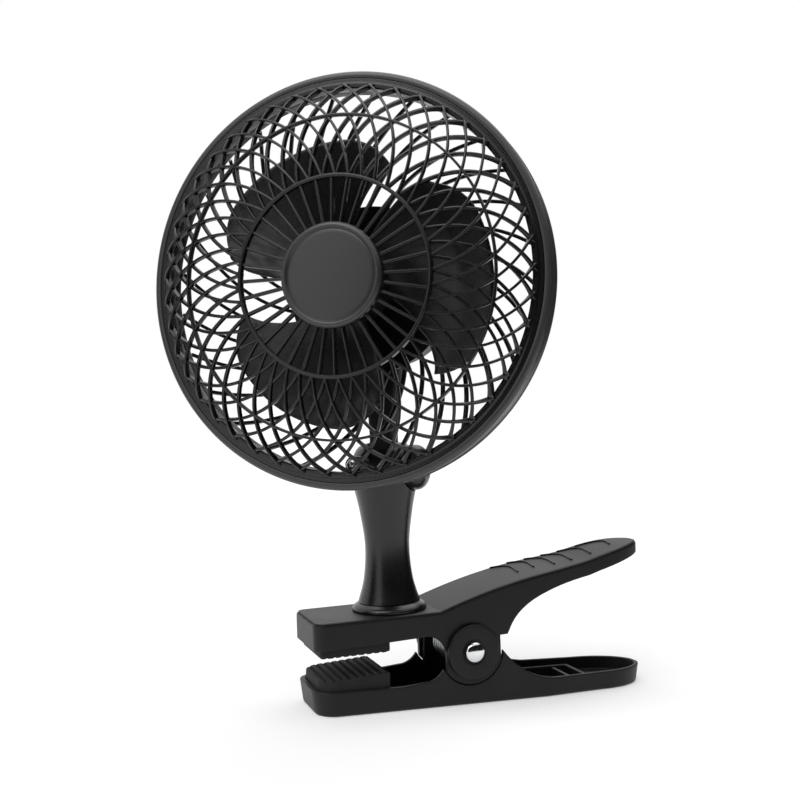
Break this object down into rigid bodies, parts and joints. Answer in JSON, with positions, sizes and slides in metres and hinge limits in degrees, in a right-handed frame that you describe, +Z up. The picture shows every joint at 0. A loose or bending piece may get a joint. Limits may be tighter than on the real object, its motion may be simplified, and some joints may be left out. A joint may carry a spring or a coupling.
{
  "type": "clip fan",
  "caption": "Small caged fan on a waisted neck that stands on a spring clip; the head tilts and swivels, the jaws open, the blades and the speed knob turn.",
  "frame": {"origin": "on the resting face under the lower lever, straight below the clip pivot", "axes": "+X along the clip from the jaws to the handles, -Y the side with the rivet head, +Z up"},
  "size_m": [0.237, 0.1259, 0.2816],
  "materials": {
    "plastic": "satin black, fine moulded grain",
    "gloss": "smooth black",
    "rubber": "dull black",
    "chrome": "bright plated",
    "steel": "plain zinc-plated",
    "copper": "enamelled copper wire",
    "brass": "sintered bronze"
  },
  "bodies": {
    "lower_clip": {"lower_jaw": "plastic", "lower_pad": "rubber", "pivot_rivet": "chrome", "rivet_collar": "chrome", "pivot_cap_near": "plastic", "pivot_cap_far": "plastic", "torsion_spring": "steel"},
    "upper_clip": {"upper_jaw": "plastic", "upper_pad": "rubber", "neck_collar": "plastic", "swivel_screw": "steel", "swivel_washer": "steel"},
    "neck": {"neck_column": "plastic", "swivel_nut": "steel", "tilt_screw": "steel", "tilt_nut": "steel", "tilt_cap": "plastic"},
    "head": {"front_grille": "plastic", "hub_badge": "gloss", "rim_ring": "plastic", "rear_grille": "plastic", "cage_screw": "chrome", "motor_housing": "plastic", "switch_body": "gloss", "cable_gland": "rubber", "stator_core": "steel", "stator_coil_1": "copper", "stator_coil_2": "copper", "stator_coil_3": "copper", "stator_coil_4": "copper", "motor_bracket": "steel", "motor_screw_1": "steel", "motor_screw_2": "steel", "motor_screw_3": "steel", "motor_screw_4": "steel", "front_bearing": "brass", "rear_bearing": "brass"},
    "fan_rotor": {"motor_shaft": "steel", "rotor_core": "steel", "impeller": "gloss", "impeller_nut": "plastic"},
    "knob": {"speed_knob": "plastic"}
  },
  "joints": [
    {"name": "clip_hinge", "type": "hinge", "parent": "lower_clip", "child": "upper_clip", "pos_m": [0, 0, 0.025], "axis": [0, 1, 0], "range_deg": [0, 25], "stiffness_Nm_per_rad": 0.9, "springref_deg": -34.38, "deforming": ["torsion_spring"]},
    {"name": "head_swivel", "type": "hinge", "parent": "upper_clip", "child": "neck", "pos_m": [-0.03391, 0, 0.04696], "axis": [-0.0401, 0, 0.9992], "range_deg": [-180, 180]},
    {"name": "head_tilt", "type": "hinge", "parent": "neck", "child": "head", "pos_m": [-0.03641, 0, 0.10921], "axis": [-0.8084, 0.5878, -0.0325], "range_deg": [-40, 60]},
    {"name": "blade_spin", "type": "hinge", "parent": "head", "child": "fan_rotor", "pos_m": [-0.06742, -0.03808, 0.19201], "axis": [-0.5886, -0.8079, 0.0287], "continuous": true},
    {"name": "knob_turn", "type": "hinge", "parent": "head", "child": "knob", "pos_m": [-0.02504, 0.02009, 0.18994], "axis": [0.5886, 0.8079, -0.0287], "range_deg": [0, 120]}
  ]
}
